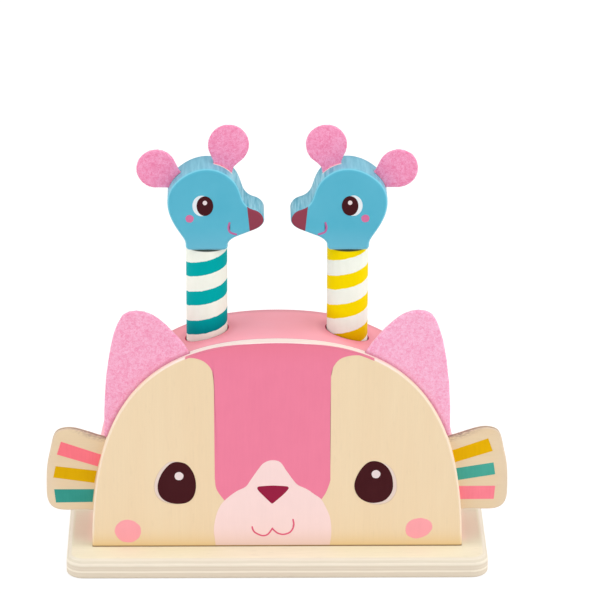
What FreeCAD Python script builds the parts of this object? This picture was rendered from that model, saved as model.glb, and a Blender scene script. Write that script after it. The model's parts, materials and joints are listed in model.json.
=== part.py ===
import FreeCAD, Part
import math
import os

import Sketcher
from FreeCAD import Placement, Rotation, Vector

# A wooden pop-up toy: a cat-faced half-round block on a base plate, with two bores in its
# top. In each bore stands a mouse on a striped peg, and under the peg a capped
# compression spring. A mouse that is pressed down and let go pops up.
#
# Millimetres. X is to the right, Y to the back, Z up. The origin is the middle of the
# base plate's underside.

SIZES = (
    # Base plate
    ("base_width", 240),
    ("base_depth", 90),
    ("base_thickness", 12),
    ("base_corner_radius", 10),
    ("base_top_radius", 4.2),
    ("base_foot_radius", 2),
    # Half-round outline that the face panel and the block share. Its fullness is the
    # length of the curve's straight start and crown, as a share of height and half width.
    ("dome_half_width", 105.5),
    ("dome_height", 125),
    ("dome_fullness", 0.701),
    ("panel_thickness", 6.5),
    ("panel_edge_radius", 1.2),
    ("block_depth", 46),
    ("block_edge_radius", 1.5),
    # Bores for the mice and their springs. The shoulder that stops the cap lies below the
    # dome's crown.
    ("hole_spacing", 79.5),
    ("guide_bore_diameter", 24.6),
    ("shoulder_depth", 33.5),
    ("spring_bore_diameter", 30),
    # Springs and the caps on them
    ("spring_diameter", 25.6),
    ("spring_wire", 1.6),
    ("spring_turns", 11),
    ("spring_recess_depth", 2),
    ("spring_recess_clearance", 0.5),
    ("spring_end_clearance", 0.1),
    ("cap_clearance", 0.5),
    ("cap_thickness", 4),
    ("cap_spigot_diameter", 18),
    ("cap_spigot_length", 7),
    ("cap_edge", 0.6),
    # The cat's felt ears, in rebates in the panel's back, and its plywood whiskers, in
    # rebates in the block's front
    ("ear_thickness", 3),
    ("fan_thickness", 3),
    ("fan_edge_radius", 0.8),
    ("rebate_clearance", 0.15),
    # Mice
    ("peg_diameter", 23.2),
    ("peg_length", 82.2),
    ("peg_edge_radius", 1.2),
    ("head_thickness", 24),
    ("head_edge_radius", 1.8),
    ("chin_corner_radius", 2.4),
    ("head_centre_height", 27),
    ("dowel_diameter", 8),
    ("dowel_length", 30),
    ("dowel_clearance", 0.05),
    # Felt ears of the mice, in slots in the heads
    ("front_ear_diameter", 23),
    ("back_ear_diameter", 22),
    ("mouse_ear_root", 11.8),
    ("mouse_ear_root_width", 11.4),
    ("mouse_ear_tab", 7),
    ("mouse_ear_thickness", 3),
    ("ear_slot_clearance", 0.1),
    ("front_ear_reach", 34.1),
    ("front_ear_angle", 21.4),
    ("front_ear_turn", -8),
    ("back_ear_reach", 33.1),
    ("back_ear_angle", -57.8),
    ("back_ear_turn", 0),
    # Countersunk screws that hold the base plate to the block
    ("screw_diameter", 4),
    ("screw_length", 30),
    ("screw_head_diameter", 8),
    ("screw_sink", 0.5),
    ("screw_clearance", 0.1),
    ("screw_point", 5),
    ("screw_slot_width", 1),
    ("screw_slot_depth", 1.4),
    ("inner_screw_place", 12),
    ("outer_screw_place", 78),
)

# Free outlines in front view, seen from the front and given for the right-hand side:
# distance out from the dome's flank, height over its crown.
CAT_EAR_EDGE = (
    (-55.2, -6.6), (-50.7, 0.2), (-45.9, 5.7), (-41.3, 10.3), (-36.5, 14.2), (-31.5, 16.6),
    (-27.0, 17.4), (-22.5, 16.9), (-19.1, 15.1), (-16.7, 11.8), (-14.1, 5.4), (-11.7, -4.3),
    (-9.7, -16.3), (-8.3, -29.8), (-7.7, -43.8), (-7.5, -58.6),
)
CAT_EAR_ROOT = ((-15.5, -58.6), (-32.0, -33.8), (-59.5, -13.3))
FAN_EDGE = (
    (-8.1, -60.5), (-0.4, -58.2), (6.1, -56.0), (11.1, -54.9), (15.6, -55.1), (19.5, -56.8),
    (21.7, -60.8), (23.3, -67.9), (24.9, -75.3), (25.7, -84.0), (25.8, -92.0), (25.3, -98.0),
    (23.5, -102.0), (20.5, -104.2), (16.6, -105.0), (12.1, -105.1), (1.2, -105.1),
)
FAN_ROOT = ((-19.9, -101.0), (-19.9, -64.5))

# Outline of a mouse's head, from the back of the neck over the crown to the throat:
# distance from the peg's axis towards the nose, height above the chin.
NECK_BACK = (-11.7, 3.0)
THROAT = (11.9, 3.0)
HEAD_EDGE = (
    (-12.2, 5.4), (-13.9, 8.4), (-16.3, 12.0), (-19.0, 16.8), (-20.9, 21.6), (-21.8, 27.0),
    (-21.4, 32.4), (-19.2, 37.7), (-15.6, 41.8), (-11.2, 45.0), (-5.9, 47.4), (0.2, 48.4),
    (6.5, 47.4), (11.6, 44.7), (15.5, 41.0), (18.1, 36.5), (19.7, 31.8), (20.7, 29.2),
    (22.4, 26.8), (25.0, 24.9), (28.0, 23.8), (30.5, 22.1), (32.0, 19.7), (32.3, 17.4),
    (31.2, 15.0), (28.9, 13.0), (24.5, 11.0), (19.5, 9.0), (15.4, 7.2), (12.9, 5.2),
)

doc = FreeCAD.newDocument("PopUpToy")
sheet = doc.addObject("Spreadsheet::Sheet", "size")
for row, (alias, number) in enumerate(SIZES, start=1):
    sheet.set("A%d" % row, alias)
    sheet.set("B%d" % row, str(number))
    sheet.setAlias("B%d" % row, alias)
doc.recompute()

# Places in the toy, as expressions on the sheet
SIDES = (("left", -1), ("right", 1))
BASE_TOP = "size.base_thickness"
PANEL_FRONT = "-(size.panel_thickness + size.block_depth) / 2"
BLOCK_FRONT = "(size.panel_thickness - size.block_depth) / 2"
BORE_Y = "size.panel_thickness / 2"
CROWN_Z = "size.base_thickness + size.dome_height"
SHOULDER_Z = CROWN_Z + " - size.shoulder_depth"
CHIN_Z = "%s + size.peg_length" % SHOULDER_Z
CAP_UNDERSIDE = "%s - size.cap_thickness" % SHOULDER_Z
SPRING_FOOT = "size.base_thickness - size.spring_recess_depth"

NEAR = 0.01  # edges and radii that differ by less count as the same
parts = []  # finished sub-parts, each written to a file of its own


def value(expression):
    """The number that an expression on the sheet stands for."""
    result = sheet.evalExpression(expression)
    return float(getattr(result, "Value", result))


def size(alias):
    return value("size." + alias)


def bind(feature, **expressions):
    """Ties properties of a feature to the sheet."""
    for name, expression in expressions.items():
        feature.setExpression(name, expression)
    return feature


def place(feature, x="0", y="0", z="0", turn=0.0):
    """Puts a feature at a place worked out from the sheet, turned about Z."""
    feature.Placement = Placement(Vector(), Rotation(Vector(0, 0, 1), turn))
    for axis, expression in zip("xyz", (x, y, z)):
        feature.setExpression("Placement.Base." + axis, expression)
    return feature


def finish(feature, label):
    """Names a sub-part and keeps it for the files."""
    feature.Label = label
    parts.append(feature)
    return feature


def shape_feature(name, shape):
    feature = doc.addObject("Part::Feature", name)
    feature.Shape = shape
    return feature


def extrusion(name, outline, length):
    """A solid that runs towards the back from an outline in the XZ plane."""
    feature = doc.addObject("Part::Extrusion", name)
    feature.Base = outline
    feature.DirMode = "Custom"
    feature.Dir = Vector(0, 1, 0)
    feature.Solid = True
    return bind(feature, LengthFwd=length)


def cylinder(name, diameter, height):
    feature = doc.addObject("Part::Cylinder", name)
    return bind(feature, Radius="(%s) / 2" % diameter, Height=height)


def cut(name, base, tools):
    """The base solid less all tools."""
    tool = doc.addObject("Part::MultiFuse", name + "_cutters")
    tool.Shapes = tools
    feature = doc.addObject("Part::Cut", name)
    feature.Base = base
    feature.Tool = tool
    return feature


def rounded(name, base, radius, chosen):
    """The base solid with the chosen edges rounded."""
    doc.recompute()
    feature = doc.addObject("Part::Fillet", name)
    feature.Base = base
    numbers = [k for k, edge in enumerate(base.Shape.Edges, start=1) if chosen(edge)]
    feature.Edges = [(k, radius, radius) for k in numbers]
    return feature


def lies_at(edge, axis, level):
    """True if an edge lies in the plane where the axis has this value."""
    box = edge.BoundBox
    low, high = getattr(box, axis + "Min"), getattr(box, axis + "Max")
    return abs(low - level) < NEAR and abs(high - level) < NEAR


def upright(pairs):
    """Points in the XZ plane."""
    return [Vector(x, 0, z) for x, z in pairs]


def spline(points, **tangents):
    """A smooth curve through points, with unit tangents at its ends where they are given."""
    lengths = [0.0]
    for a, b in zip(points, points[1:]):
        lengths.append(lengths[-1] + a.distanceToPoint(b))
    if tangents:
        tangents["Scale"] = False
    curve = Part.BSplineCurve()
    curve.interpolate(Points=points, Parameters=lengths, **tangents)
    return curve.toShape()


def face(edges):
    return Part.Face(Part.Wire(edges))


# Outlines


def dome_face():
    """The half-round outline: two mirrored Bezier curves on a straight foot."""
    half_width, height, fullness = size("dome_half_width"), size("dome_height"), size("dome_fullness")
    poles = [(1, 0), (1, fullness), (fullness, 1), (0, 1)]
    edges = [Part.makeLine(Vector(-half_width, 0, 0), Vector(half_width, 0, 0))]
    for sign in (1, -1):
        curve = Part.BezierCurve()
        curve.setPoles([Vector(sign * half_width * x, 0, height * z) for x, z in poles])
        edges.append(curve.toShape())
    return Part.Face(Part.Wire(Part.__sortEdges__(edges)))


def leaf_face(edge, root):
    """A leaf with a smooth free edge and straight sides on its hidden root."""
    free_edge, hidden = upright(edge), upright(root)
    corners = [free_edge[-1]] + hidden + [free_edge[0]]
    lines = [Part.makeLine(a, b) for a, b in zip(corners, corners[1:])]
    return face([spline(free_edge)] + lines)


def head_face():
    """A mouse's head: a smooth outline, with a flat chin between small round corners."""
    back, throat = upright([NECK_BACK])[0], upright([THROAT])[0]
    radius = size("chin_corner_radius")
    bend = radius * math.sqrt(0.5)
    edges = [
        spline(
            [back] + upright(HEAD_EDGE) + [throat],
            InitialTangent=Vector(0, 0, 1),
            FinalTangent=Vector(0, 0, -1),
        )
    ]
    chin = []
    for corner, inward in ((throat, -1), (back, 1)):
        centre = Vector(corner.x + inward * radius, 0, radius)
        start = Vector(corner.x, 0, radius)
        middle = centre + Vector(-inward * bend, 0, -bend)
        end = Vector(centre.x, 0, 0)
        if abs(corner.z - radius) > NEAR:
            edges.append(Part.makeLine(corner, start))
        edges.append(Part.Arc(start, middle, end).toShape())
        chin.append(end)
    edges.append(Part.makeLine(chin[0], chin[1]))
    return Part.Face(Part.Wire(Part.__sortEdges__(edges)))


def mouse_ear_face(kind):
    """A round ear that narrows to the tab in its slot. The disc's centre is the origin."""
    radius, root = size(kind + "_ear_diameter") / 2, size("mouse_ear_root")
    half = size("mouse_ear_root_width") / 2
    reach = math.hypot(half, root)
    # Where a line from the root's corner touches the disc
    turn = math.atan2(-root, half) + math.acos(radius / reach)
    touch = Vector(radius * math.cos(turn), 0, radius * math.sin(turn))
    mirror = Vector(-touch.x, 0, touch.z)
    foot = -root - size("mouse_ear_tab")
    corners = [touch] + upright([(half, -root), (half, foot), (-half, foot), (-half, -root)])
    corners.append(mirror)
    lines = [Part.makeLine(a, b) for a, b in zip(corners, corners[1:])]
    return face(lines + [Part.Arc(mirror, Vector(0, 0, radius), touch).toShape()])


def mirrored(shape):
    return shape.mirror(Vector(), Vector(1, 0, 0))


# Sketches


def new_sketch(body, name, role):
    """A sketch on one of its body's origin planes."""
    sketch = body.newObject("Sketcher::SketchObject", name)
    plane = next(item for item in body.Origin.OriginFeatures if item.Role == role)
    sketch.AttachmentSupport = [(plane, "")]
    sketch.MapMode = "FlatFace"
    return sketch


def bound_distance(sketch, kind, geometry, point, expression):
    """Ties a sketch point's distance from the origin to the sheet."""
    if expression == "0":
        axis = -2 if kind == "DistanceX" else -1
        sketch.addConstraint(Sketcher.Constraint("PointOnObject", geometry, point, axis))
        return
    number = value(expression)
    constraint = Sketcher.Constraint(kind, -1, 1, geometry, point, number)
    sketch.setExpression("Constraints[%d]" % sketch.addConstraint(constraint), expression)


def add_polygon(sketch, corners):
    """A closed outline of straight lines, each corner given by two expressions."""
    points = [Vector(value(x), value(y), 0) for x, y in corners]
    for a, b in zip(points, points[1:] + points[:1]):
        sketch.addGeometry(Part.LineSegment(a, b))
    for k in range(len(points)):
        following = (k + 1) % len(points)
        sketch.addConstraint(Sketcher.Constraint("Coincident", k, 2, following, 1))
    for k, (x, y) in enumerate(corners):
        bound_distance(sketch, "DistanceX", k, 1, x)
        bound_distance(sketch, "DistanceY", k, 1, y)


def add_circle(sketch, x, y, diameter):
    centre = Vector(value(x), value(y), 0)
    circle = sketch.addGeometry(Part.Circle(centre, Vector(0, 0, 1), value(diameter) / 2))
    bound_distance(sketch, "DistanceX", circle, 3, x)
    bound_distance(sketch, "DistanceY", circle, 3, y)
    constraint = Sketcher.Constraint("Diameter", circle, value(diameter))
    sketch.setExpression("Constraints[%d]" % sketch.addConstraint(constraint), diameter)


def dress(body, kind, name, **settings):
    """A fillet or chamfer on the body's edges that a test chooses."""
    chosen = settings.pop("chosen")
    doc.recompute()
    base = body.Tip
    feature = body.newObject("PartDesign::" + kind, name)
    edges = base.Shape.Edges
    feature.Base = (base, ["Edge%d" % k for k, edge in enumerate(edges, start=1) if chosen(edge)])
    return bind(feature, **settings)


def turned_body(name, profile):
    """A body of revolution about Z, from a half profile of expressions."""
    body = doc.addObject("PartDesign::Body", name)
    sketch = new_sketch(body, name + "_profile", "XZ_Plane")
    add_polygon(sketch, profile)
    turned = body.newObject("PartDesign::Revolution", name + "_turned")
    turned.Profile = sketch
    turned.ReferenceAxis = (sketch, ["V_Axis"])
    turned.Angle = 360
    return body


# Sub-parts of the cat


def screw_places():
    """X of the base screws, as expressions."""
    return [
        "%d * size.%s" % (sign, name)
        for _, sign in SIDES
        for name in ("inner_screw_place", "outer_screw_place")
    ]


def make_base_plate():
    body = doc.addObject("PartDesign::Body", "base_plate_body")
    half_width, half_depth = "size.base_width / 2", "size.base_depth / 2"
    outline = new_sketch(body, "base_outline", "XY_Plane")
    corners = [("-" + half_width, "-" + half_depth), (half_width, "-" + half_depth)]
    corners += [(half_width, half_depth), ("-" + half_width, half_depth)]
    add_polygon(outline, corners)
    slab = body.newObject("PartDesign::Pad", "base_slab")
    slab.Profile = outline
    bind(slab, Length=BASE_TOP)
    dress(
        body, "Fillet", "base_corners", chosen=lambda edge: edge.BoundBox.ZLength > NEAR,
        Radius="size.base_corner_radius",
    )
    for name, level in (("top", value(BASE_TOP)), ("foot", 0)):
        dress(
            body, "Fillet", "base_%s_edges" % name,
            chosen=lambda edge: lies_at(edge, "Z", level),
            Radius="size.base_%s_radius" % name,
        )

    recesses = new_sketch(body, "spring_recess_circles", "XY_Plane")
    recesses.setExpression("AttachmentOffset.Base.z", BASE_TOP)
    recess_diameter = "size.spring_diameter + 2 * size.spring_recess_clearance"
    for _, sign in SIDES:
        add_circle(recesses, "%d * size.hole_spacing / 2" % sign, BORE_Y, recess_diameter)
    pocket = body.newObject("PartDesign::Pocket", "spring_recesses")
    pocket.Profile = recesses
    bind(pocket, Length="size.spring_recess_depth")

    circles = new_sketch(body, "screw_hole_circles", "XY_Plane")
    hole_diameter = "size.screw_diameter + 2 * size.screw_clearance"
    for x in screw_places():
        add_circle(circles, x, BORE_Y, hole_diameter)
    holes = body.newObject("PartDesign::Pocket", "screw_holes")
    holes.Profile = circles
    holes.Type = "ThroughAll"
    holes.Reversed = True

    hole_radius = size("screw_diameter") / 2 + size("screw_clearance")
    dress(
        body, "Chamfer", "screw_countersinks",
        chosen=lambda edge: lies_at(edge, "Z", 0)
        and hasattr(edge.Curve, "Radius")
        and abs(edge.Curve.Radius - hole_radius) < NEAR,
        Size="(size.screw_head_diameter - size.screw_diameter) / 2 + size.screw_sink",
    )
    return finish(body, "base_plate")


def make_screws():
    """Countersunk screws with cross slots, driven up through the base plate."""
    head, shank = "size.screw_head_diameter / 2", "size.screw_diameter / 2"
    cone = "(size.screw_head_diameter - size.screw_diameter) / 2"
    screws = []
    for number, x in enumerate(screw_places(), start=1):
        body = turned_body(
            "screw_%d" % number,
            [
                ("0", "0"),
                (head, "0"),
                (shank, cone),
                (shank, "size.screw_length - size.screw_point"),
                ("0", "size.screw_length"),
            ],
        )
        slots = []
        for turn in (0, 90):
            slot = doc.addObject("Part::Box", "screw_%d_slot_%d" % (number, turn))
            length = "size.screw_diameter"
            bind(slot, Length=length, Width="size.screw_slot_width", Height="size.screw_slot_depth")
            across, along = "-(%s) / 2" % length, "-size.screw_slot_width / 2"
            if turn:
                place(slot, "size.screw_slot_width / 2", across, turn=turn)
            else:
                place(slot, across, along)
            slots.append(slot)
        screw = cut("screw_%d_slotted" % number, body, slots)
        screws.append(place(screw, x, BORE_Y, "size.screw_sink"))
    group = doc.addObject("Part::Compound", "screw_group")
    group.Links = screws
    return finish(group, "base_screws")


def rebate_tools(kind, edge, root, y):
    """Room for a pair of leaves, open at the rim of the part that holds them."""
    tools = []
    room = leaf_face(edge, root).makeOffset2D(size("rebate_clearance"))
    for side, sign in SIDES:
        name = "%s_%s_rebate" % (side, kind)
        outline = shape_feature(name + "_outline", room if sign > 0 else mirrored(room))
        tool = extrusion(name, outline, "size.%s_thickness + size.rebate_clearance" % kind)
        tools.append(place(tool, "%d * size.dome_half_width" % sign, y, CROWN_Z))
    return tools


def bore_tools():
    """Per mouse a guide bore from the top and a wider spring bore from below."""
    tools = []
    for side, sign in SIDES:
        x = "%d * size.hole_spacing / 2" % sign
        guide = cylinder(side + "_guide_bore", "size.guide_bore_diameter", "size.dome_height")
        tools.append(place(guide, x, BORE_Y, SHOULDER_Z))
        spring_room = cylinder(
            side + "_spring_bore", "size.spring_bore_diameter", "%s - %s" % (SHOULDER_Z, BASE_TOP)
        )
        tools.append(place(spring_room, x, BORE_Y, BASE_TOP))
    return tools


def pilot_tools():
    """Pilot holes for the screws in the block's foot."""
    tools = []
    for number, x in enumerate(screw_places(), start=1):
        diameter = "size.screw_diameter + 2 * size.screw_clearance"
        depth = "size.screw_length + size.screw_sink + size.screw_clearance - size.base_thickness"
        pilot = cylinder("pilot_%d" % number, diameter, depth)
        tools.append(place(pilot, x, BORE_Y, BASE_TOP))
    return tools


def make_block():
    outline = shape_feature("block_outline", dome_face())
    raw = place(extrusion("block_raw", outline, "size.block_depth"), y=BLOCK_FRONT, z=BASE_TOP)
    back = value(BLOCK_FRONT) + size("block_depth")
    foot = value(BASE_TOP)
    eased = rounded(
        "block_eased", raw, size("block_edge_radius"),
        lambda edge: lies_at(edge, "Y", back) and not lies_at(edge, "Z", foot),
    )
    rebates = rebate_tools("fan", FAN_EDGE, FAN_ROOT, BLOCK_FRONT)
    return finish(cut("block", eased, bore_tools() + pilot_tools() + rebates), "cat_block")


def make_panel():
    outline = shape_feature("panel_outline", dome_face())
    raw = extrusion("panel_raw", outline, "size.panel_thickness")
    place(raw, y=PANEL_FRONT, z=BASE_TOP)
    front, foot = value(PANEL_FRONT), value(BASE_TOP)
    eased = rounded(
        "panel_eased", raw, size("panel_edge_radius"),
        lambda edge: lies_at(edge, "Y", front) and not lies_at(edge, "Z", foot),
    )
    rebate_front = BLOCK_FRONT + " - size.ear_thickness - size.rebate_clearance"
    rebates = rebate_tools("ear", CAT_EAR_EDGE, CAT_EAR_ROOT, rebate_front)
    return finish(cut("panel", eased, rebates), "face_panel")


def make_cat_leaves():
    """The felt ears and the plywood whisker fans, each pair mirrored."""
    ear, fan = leaf_face(CAT_EAR_EDGE, CAT_EAR_ROOT), leaf_face(FAN_EDGE, FAN_ROOT)
    ear_front = BLOCK_FRONT + " - size.ear_thickness"
    for side, sign in SIDES:
        flank = "%d * size.dome_half_width" % sign
        label = side + "_cat_ear"
        outline = shape_feature(label + "_outline", ear if sign > 0 else mirrored(ear))
        felt = extrusion(label + "_leaf", outline, "size.ear_thickness")
        finish(place(felt, flank, ear_front, CROWN_Z), label)

        label = side + "_whiskers"
        outline = shape_feature(label + "_outline", fan if sign > 0 else mirrored(fan))
        raw = extrusion(label + "_raw", outline, "size.fan_thickness")
        place(raw, flank, BLOCK_FRONT, CROWN_Z)
        front = value(BLOCK_FRONT)
        eased = rounded(
            label + "_eased", raw, size("fan_edge_radius"),
            lambda edge: lies_at(edge, "Y", front) and edge.Curve.TypeId == "Part::GeomBSplineCurve",
        )
        finish(eased, label)


# Sub-parts of a mouse and its spring


def make_spring(side, x):
    """A compression spring between the base plate's recess and the cap."""
    wire, clearance = size("spring_wire"), size("spring_end_clearance")
    foot, top = value(SPRING_FOOT) + clearance, value(CAP_UNDERSIDE) - clearance
    mean_radius = (size("spring_diameter") - wire) / 2
    rise = top - foot - wire
    helix = Part.makeHelix(rise / size("spring_turns"), rise, mean_radius)
    section = Part.makeCircle(wire / 2, Vector(mean_radius, 0, 0), Vector(0, 1, 0))
    coil = Part.Wire(helix.Edges).makePipeShell([Part.Wire(section)], True, True)
    spring = shape_feature(side + "_coil", coil)
    spring.Placement = Placement(Vector(value(x), value(BORE_Y), foot + wire / 2), Rotation())
    return finish(spring, side + "_spring")


def make_spring_cap(side, x):
    """The disc that the peg stands on, with a spigot inside the spring."""
    flange = "size.spring_bore_diameter / 2 - size.cap_clearance"
    spigot = "size.cap_spigot_diameter / 2"
    underside = "-size.cap_thickness"
    tip = "-size.cap_thickness - size.cap_spigot_length"
    profile = [("0", "0"), (flange, "0"), (flange, underside), (spigot, underside)]
    cap = turned_body(side + "_cap", profile + [(spigot, tip), ("0", tip)])
    dress(
        cap, "Chamfer", side + "_cap_edges",
        chosen=lambda edge: lies_at(edge, "Z", value(tip)) or lies_at(edge, "Z", 0),
        Size="size.cap_edge",
    )
    return finish(place(cap, x, BORE_Y, SHOULDER_Z), side + "_spring_cap")


def make_peg(side, x):
    """The striped peg, with a blind hole for the neck dowel in its top."""
    radius, foot = "size.peg_diameter / 2", "-size.peg_length"
    hole = "size.dowel_diameter / 2 + size.dowel_clearance"
    hole_foot = "-size.dowel_length / 2 - size.dowel_clearance"
    profile = [("0", foot), (radius, foot), (radius, "0"), (hole, "0")]
    peg = turned_body(side + "_peg", profile + [(hole, hole_foot), ("0", hole_foot)])
    dress(
        peg, "Fillet", side + "_peg_edges",
        chosen=lambda edge: lies_at(edge, "Z", value(foot)),
        Radius="size.peg_edge_radius",
    )
    return finish(place(peg, x, BORE_Y, CHIN_Z), side + "_peg")


def make_dowel(side, x):
    """The dowel that joins the head to the peg."""
    dowel = cylinder(side + "_dowel", "size.dowel_diameter", "size.dowel_length")
    place(dowel, x, BORE_Y, "%s - size.dowel_length / 2" % CHIN_Z)
    return finish(dowel, side + "_neck_dowel")


def ear_pose(kind):
    """From an ear's own frame to the head's: out from the head's centre at an angle towards
    the nose, and turned by a further angle about the disc's centre."""
    angle = size(kind + "_ear_angle")
    out = Rotation(Vector(0, 1, 0), angle).multVec(Vector(0, 0, size(kind + "_ear_reach")))
    turned = Rotation(Vector(0, 1, 0), angle + size(kind + "_ear_turn"))
    return Placement(Vector(0, 0, size("head_centre_height")) + out, turned)


def make_mouse(side, x, turn):
    """Head and ears. The nose points along X before the turn about the peg's axis."""
    outline = shape_feature(side + "_head_outline", head_face())
    slab = extrusion(side + "_head_slab", outline, "size.head_thickness")
    place(slab, y="-size.head_thickness / 2")
    half = size("head_thickness") / 2
    eased = rounded(
        side + "_head_eased", slab, size("head_edge_radius"),
        lambda edge: lies_at(edge, "Y", half) or lies_at(edge, "Y", -half),
    )
    dowel_hole = cylinder(
        side + "_head_dowel_hole",
        "size.dowel_diameter + 2 * size.dowel_clearance",
        "size.dowel_length / 2 + size.dowel_clearance",
    )
    cutters = [dowel_hole]
    for kind in ("front", "back"):
        pose = ear_pose(kind)
        leaf = mouse_ear_face(kind)
        room = leaf.makeOffset2D(size("ear_slot_clearance"))
        slot = shape_feature("%s_%s_slot_outline" % (side, kind), room.transformGeometry(pose.Matrix))
        width = "size.mouse_ear_thickness + 2 * size.ear_slot_clearance"
        tool = extrusion("%s_%s_ear_slot" % (side, kind), slot, width)
        cutters.append(place(tool, y="-(%s) / 2" % width))
        ear = shape_feature(
            "%s_%s_ear_outline" % (side, kind), leaf.transformGeometry(pose.Matrix)
        )
        felt = extrusion("%s_%s_ear_felt" % (side, kind), ear, "size.mouse_ear_thickness")
        back_step = "size.mouse_ear_thickness / 2"
        shift = back_step if turn else "-" + back_step
        place(felt, x, "%s + %s" % (BORE_Y, shift), CHIN_Z, turn)
        finish(felt, "%s_mouse_%s_ear" % (side, kind))
    head = cut(side + "_head", eased, cutters)
    return finish(place(head, x, BORE_Y, CHIN_Z, turn), side + "_mouse_head")


# The whole toy

make_base_plate()
make_screws()
make_block()
make_panel()
make_cat_leaves()
for side, sign in SIDES:
    bore_x = "%d * size.hole_spacing / 2" % sign
    make_spring(side, bore_x)
    make_spring_cap(side, bore_x)
    make_peg(side, bore_x)
    make_dowel(side, bore_x)
    make_mouse(side, bore_x, 0 if sign < 0 else 180)
doc.recompute()

for item in doc.Objects:
    if "Invalid" in item.State or "Error" in item.State:
        raise RuntimeError("%s (%s) did not build: %s" % (item.Label, item.Name, item.State))
for item in parts:
    if item.Shape.isNull() or not item.Shape.isValid():
        raise RuntimeError("%s has no valid shape" % item.Label)

os.makedirs("parts", exist_ok=True)
for item in parts:
    item.Shape.exportStep("parts/%s.step" % item.Label)
    solids = item.Shape.Solids
    print("%-24s %2d solid(s) %9.1f mm3" % (item.Label, len(solids), item.Shape.Volume))
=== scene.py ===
"""A wooden pop-up toy: a cat-faced dome with two sprung mouse pegs, in its photograph's view.

Sizes, places and tables of points are in millimetres, in the frame of the CAD model: x to the
right of the toy's middle, y from front to back, z up. Blender's own units are metres.
"""

import json
import math

import bmesh
import bpy
import numpy as np
from mathutils import Matrix, Vector, noise


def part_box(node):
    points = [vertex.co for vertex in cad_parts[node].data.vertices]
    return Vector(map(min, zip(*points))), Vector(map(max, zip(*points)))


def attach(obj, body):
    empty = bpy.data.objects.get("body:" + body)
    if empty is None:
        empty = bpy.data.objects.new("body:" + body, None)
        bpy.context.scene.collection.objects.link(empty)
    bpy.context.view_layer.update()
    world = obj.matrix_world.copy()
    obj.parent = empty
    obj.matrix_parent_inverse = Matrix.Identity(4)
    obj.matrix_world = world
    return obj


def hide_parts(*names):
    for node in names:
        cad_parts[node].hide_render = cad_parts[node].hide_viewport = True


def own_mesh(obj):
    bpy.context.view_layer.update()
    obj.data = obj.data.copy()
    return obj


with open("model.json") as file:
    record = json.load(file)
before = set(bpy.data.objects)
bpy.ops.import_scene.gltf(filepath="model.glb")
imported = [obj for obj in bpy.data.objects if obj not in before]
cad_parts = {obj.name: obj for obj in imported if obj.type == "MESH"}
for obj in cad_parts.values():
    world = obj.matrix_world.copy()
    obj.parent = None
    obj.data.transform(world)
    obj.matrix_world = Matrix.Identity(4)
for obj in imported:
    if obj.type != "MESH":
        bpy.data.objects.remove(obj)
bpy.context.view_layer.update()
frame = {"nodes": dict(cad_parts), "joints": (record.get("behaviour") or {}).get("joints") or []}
NODES = frame["nodes"]
JOINTS = {joint["name"]: joint for joint in frame["joints"]}
SCENE = bpy.context.scene
MM = 0.001


# Sizes and places


def millimetres(metres):
    return [round(value / MM, 3) for value in metres]


def corners(node):
    """A CAD node's lowest and highest corner at rest."""
    return [millimetres(corner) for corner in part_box(node)]


BASE_TOP = corners("base_plate")[1][2]
PANEL_LOW, PANEL_HIGH = corners("face_panel")
PANEL_FRONT, PANEL_BACK = PANEL_LOW[1], PANEL_HIGH[1]
BLOCK_BACK = corners("cat_block")[1][1]
DOME_HALF_WIDTH, CROWN = PANEL_HIGH[0], PANEL_HIGH[2]
DOME_HEIGHT = CROWN - BASE_TOP
DOME_FULLNESS = 0.701  # how far its outline's cubic handles reach, as a share of its size
DOME_POWER = 2.54  # of the superellipse that lies nearest to the dome's outline
FAN_REACH, FAN_BACK, _ = corners("right_whiskers")[1]
FAN_TOP, FAN_RISE = 78.75, 0.33  # a fan's top edge: its height at the dome's flank, its slope
BORE_X, BORE_Y, SPRING_FOOT = millimetres(JOINTS["right_mouse_spin"]["pos_m"])
BORE_RADIUS = 12.3
BORE_MOUTH, BORE_SLOPE = 132.3, 0.284  # the dome's skin at a bore's axis: its height, its fall
CHIN = corners("right_peg")[1][2]
HEAD_LOW, HEAD_HIGH = corners("right_mouse_head")
HEAD_HALF = (HEAD_HIGH[1] - HEAD_LOW[1]) / 2
EAR_FRONT = corners("right_mouse_front_ear")[0][1]
HEAD_CENTRE = 27.0  # over the chin
HEAD_REACH = 26.0  # a mouse's ears are out of their slots this far from its head's centre
FRONT_EAR_LEAN, BACK_EAR_LEAN = 13.4, -57.8  # degrees from upright, towards the nose
NOSE_EDGE, NOSE_HEIGHT = 22.9, 24.4  # on the nose paint's edge: before the peg, over the chin
NOSE_SLANT = -1.3 / 12.7  # how far forward that edge goes for each millimetre up
SPRING_TOP, SPRING_WIRE, SPRING_DIAMETER, SPRING_TURNS = 99.5, 1.6, 25.6, 11
SPRING_PLAY = 0.1  # between a spring's ends and what they press on
BAND_PITCH, BAND_SHARE = 17.6, 0.475  # of the pegs' helical bands, and how much they cover
BLAZE_LEFT, BLAZE_RIGHT = -51.5, 54.2  # the blaze follows the dome's outline between these
BLAZE_INSET = 0.95  # and this far inside it
INK_ROOT = 0.02  # how deep a layer of ink reaches into what it lies on
MOUSE_EARS = (  # kind, flat size in metres, area in square metres, seed
    ("front", (0.023, 0.030), 0.00051, 5),
    ("back", (0.022, 0.030), 0.000482, 4),
)
SIDES = (("left", -1, 1), ("right", 1, -1))  # side, its sign in x, where its nose points


# Camera, light and floor

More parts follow.
